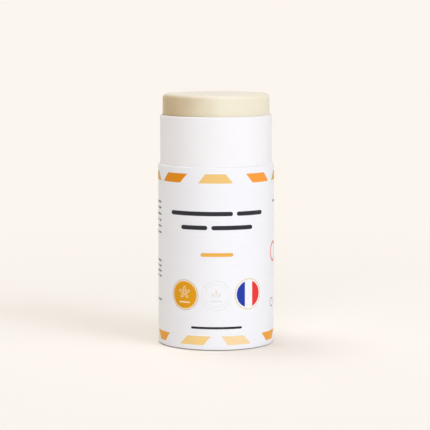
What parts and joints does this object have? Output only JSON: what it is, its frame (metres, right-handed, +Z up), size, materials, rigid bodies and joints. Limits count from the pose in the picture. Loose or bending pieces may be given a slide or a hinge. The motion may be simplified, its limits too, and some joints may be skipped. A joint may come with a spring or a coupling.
{
  "type": "push-up deodorant stick in a paperboard tube",
  "caption": "Round paperboard push-up tube with a stepped neck for a cap, a printed wrap label and a cream balm stick that slides up from its bore on a cup pushed from below.",
  "frame": {"origin": "centre of the tube's foot, on the surface that it stands on", "axes": "+Z up along the tube's axis, towards the balm; -Y out of the middle of the label's front; +X to the right of the front"},
  "size_m": [0.041, 0.0411, 0.089],
  "materials": {
    "neck_board": "matte",
    "sleeve_board": "matte",
    "label_paper": "matte",
    "cup_board": "matte",
    "balm": "satin"
  },
  "bodies": {
    "tube": {"inner_tube": "neck_board", "outer_sleeve": "sleeve_board", "label": "label_paper"},
    "stick": {"push_cup": "cup_board", "deodorant_balm": "balm"}
  },
  "joints": [
    {"name": "push_up", "type": "slide", "parent": "tube", "child": "stick", "axis": [0, 0, 1], "range_m": [-0.0085, 0.0622]}
  ]
}
